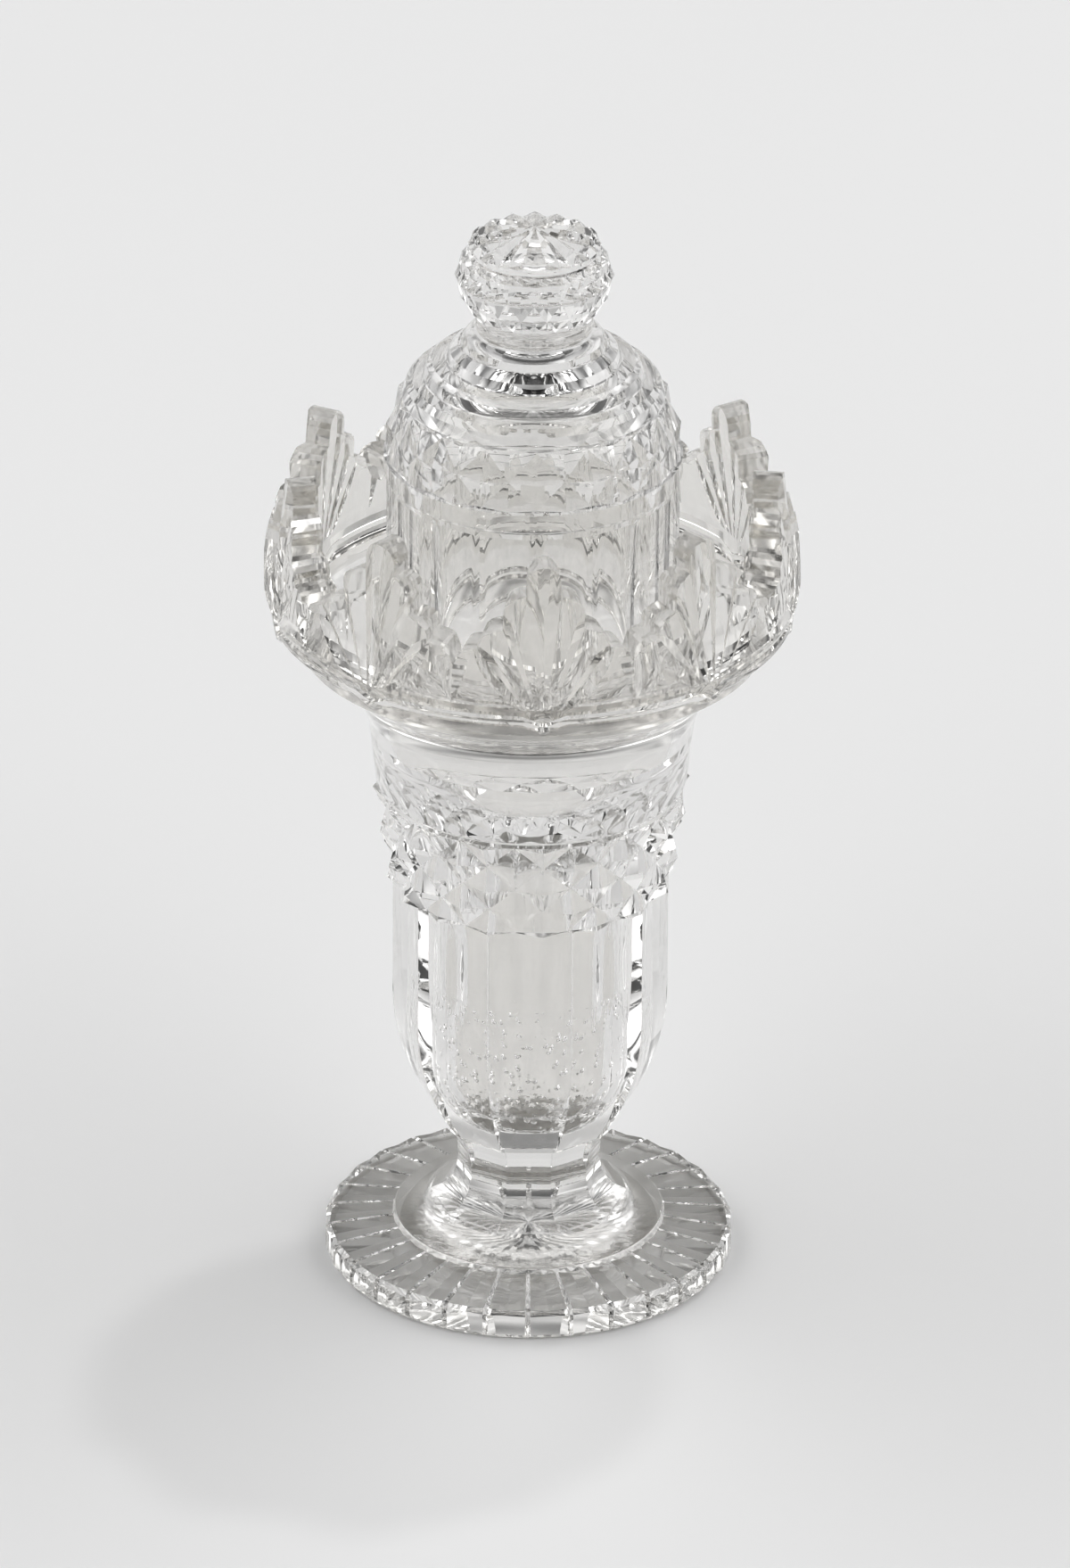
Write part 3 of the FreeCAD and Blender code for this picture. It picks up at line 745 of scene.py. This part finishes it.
def make_jar(glasses):
    """The jar, with its glasses in the order of its material slots."""
    skin = Skin()
    for lay in (lay_foot, lay_stem, lay_bowl_flats, lay_bowl_diamonds, lay_shoulder, lay_crown, lay_cavity):
        lay(skin)
    jar = skin.build("glass_jar", glasses)
    cut_crown(jar, glasses[EDGE_PAINTED_SHADE], glasses[THICK])
    smooth_between_cuts(jar)
    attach(jar, "jar")
    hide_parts("foot", "stem", "bowl", "crown")


def make_cover(clear):
    """The cover, all of it clear glass."""
    skin = Skin()
    for lay in (lay_cover_inside, lay_cover_wall, lay_cover_diamonds, lay_cover_steps, lay_knob):
        lay(skin)
    cover = skin.build("glass_cover", [clear])
    smooth_between_cuts(cover)
    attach(cover, "cover")
    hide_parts("cover_rim", "cover_dome", "knob")


# ---------------------------------------------------------------- floor, light and camera

FLOOR_HALF = 6.0
FLOOR_HEIGHT = -0.0003

LAMP_PLACE = Vector((0.42, 0.8, 2.3))
LAMP_AIM = Vector((0.0, 0.0, 0.1))
LAMP_SIZE = 0.16
LAMP_POWER = 6.5

# The room's light by direction: each pair is a coordinate of the direction and the brightness there.
ROOM_FRONT = (-0.7, 0.02)
ROOM_BACK = (0.25, 0.95)
PATCH_SCALE = 2.6
PATCH_DETAIL = 1.0
PATCH_DARK = (0.35, 0.3)
PATCH_PALE = (0.6, 1.0)
WALL_TOP = (0.35, 0.0)
BOX_FOOT = (0.6, 1.0)
BOX_TOP = (0.84, 2.2)
ZENITH = (0.94, 0.06)
BETWEEN_BOXES = (0.2, 0.04)
BOX_SIDE = (0.5, 1.0)

LOOK_DOWN = 27.0
CAMERA_ROLL = 0.37
CAMERA_AIM = Vector((0.0008, 0.0, 0.1104))
CAMERA_DISTANCE = 3.2
HALF_VIEW = 0.1661
SENSOR = 36.0

GLASS_BOUNCES = 24
GLOSSY_BOUNCES = 12


def make_floor():
    """The floor, a hair under the foot so that the two surfaces don't coincide."""
    turns = ((-1, -1), (1, -1), (1, 1), (-1, 1))
    corners = [(x * FLOOR_HALF, y * FLOOR_HALF, FLOOR_HEIGHT) for x, y in turns]
    floor = add_mesh("floor", corners, [(0, 1, 2, 3)], [paper("floor_paper")])


def add_lamp():
    """The one small lamp, high behind the jar's right, which throws the shadow."""
    lamp = bpy.data.lights.new("key", "AREA")
    lamp.shape = "DISK"
    lamp.size = LAMP_SIZE
    lamp.energy = LAMP_POWER
    light = bpy.data.objects.new("key", lamp)
    light.location = LAMP_PLACE
    light.rotation_euler = (LAMP_AIM - LAMP_PLACE).to_track_quat("-Z", "Y").to_euler()
    bpy.context.scene.collection.objects.link(light)


def multiply(tree, first, second):
    """The product of two values."""
    node = tree.nodes.new("ShaderNodeMath")
    node.operation = "MULTIPLY"
    tree.links.new(first, node.inputs[0])
    tree.links.new(second, node.inputs[1])
    return node.outputs["Value"]


def light_room():
    """Walls that are dark in front and pale behind, a bright box high on each side, and a dark zenith."""
    world = bpy.data.worlds.new("studio")
    world.use_nodes = True
    tree = world.node_tree
    direction = tree.nodes.new("ShaderNodeTexCoord").outputs["Generated"]
    split = tree.nodes.new("ShaderNodeSeparateXYZ")
    tree.links.new(direction, split.inputs["Vector"])
    patches = tree.nodes.new("ShaderNodeTexNoise")
    patches.inputs["Scale"].default_value = PATCH_SCALE
    patches.inputs["Detail"].default_value = PATCH_DETAIL
    tree.links.new(direction, patches.inputs["Vector"])
    uneven = ramp(tree, patches.outputs["Fac"], PATCH_DARK, PATCH_PALE, smooth=False)
    walls = multiply(tree, ramp(tree, split.outputs["Y"], ROOM_FRONT, ROOM_BACK), uneven)
    across = tree.nodes.new("ShaderNodeMath")
    across.operation = "ABSOLUTE"
    tree.links.new(split.outputs["X"], across.inputs[0])
    sides = ramp(tree, across.outputs["Value"], BETWEEN_BOXES, BOX_SIDE)
    boxes = multiply(tree, ramp(tree, split.outputs["Z"], BOX_TOP, ZENITH), sides)
    room = tree.nodes.new("ShaderNodeMix")
    tree.links.new(ramp(tree, split.outputs["Z"], WALL_TOP, BOX_FOOT), room.inputs["Factor"])
    tree.links.new(walls, room.inputs["A"])
    tree.links.new(boxes, room.inputs["B"])
    background = tree.nodes["Background"]
    background.inputs["Color"].default_value = (1, 1, 1, 1)
    tree.links.new(room.outputs["Result"], background.inputs["Strength"])
    bpy.context.scene.world = world


def aim_camera():
    """A long lens well in front of the jar, looking down at it."""
    down = math.radians(LOOK_DOWN)
    camera_data = bpy.data.cameras.new("camera")
    camera_data.sensor_fit = "VERTICAL"
    camera_data.sensor_height = SENSOR
    camera_data.lens = SENSOR / 2 / (HALF_VIEW / CAMERA_DISTANCE)
    camera = bpy.data.objects.new("camera", camera_data)
    camera.location = CAMERA_AIM + Vector((0, -math.cos(down), math.sin(down))) * CAMERA_DISTANCE
    upright = Matrix.Rotation(math.pi / 2 - down, 3, "X")
    camera.rotation_euler = (upright @ Matrix.Rotation(math.radians(CAMERA_ROLL), 3, "Z")).to_euler()
    bpy.context.scene.collection.objects.link(camera)
    bpy.context.scene.camera = camera


def set_bounces():
    """Enough bounces for light to cross both pieces of glass, and a plain view transform."""
    scene = bpy.context.scene
    scene.cycles.max_bounces = GLASS_BOUNCES
    scene.cycles.transmission_bounces = GLASS_BOUNCES
    scene.cycles.glossy_bounces = GLOSSY_BOUNCES
    scene.view_settings.view_transform = "Standard"


def main():
    clear = glass("cut_glass", (0.925, 0.92, 0.91), 0.01, 0.01, 60.0)
    thick = glass("thick_glass", (0.865, 0.855, 0.83), 0.01, 0.01, 60.0)
    # The edge glass: a semi-gloss ground finish, and a darker tint that is painted shade on the crown's band
    # and fan edges.
    edge = glass("cut_edge_glass_painted_shade", (0.68, 0.665, 0.63), 0.12, 0.02, 200.0, dulled=0.85)
    # The ground glass: real ground finish in its roughness and grain, and a darker tint that is painted
    # shade under the foot.
    ground = glass("ground_glass_painted_shade", (0.6, 0.585, 0.55), 0.12, 0.3, 260.0, dulled=0.6)
    seeded = glass("seeded_glass", (0.84, 0.83, 0.81), 0.02, 1.0, 420.0)
    add_seeds(seeded)
    make_jar([clear, ground, seeded, thick, edge])
    make_cover(clear)
    make_floor()
    light_room()
    add_lamp()
    aim_camera()
    set_bounces()


main()
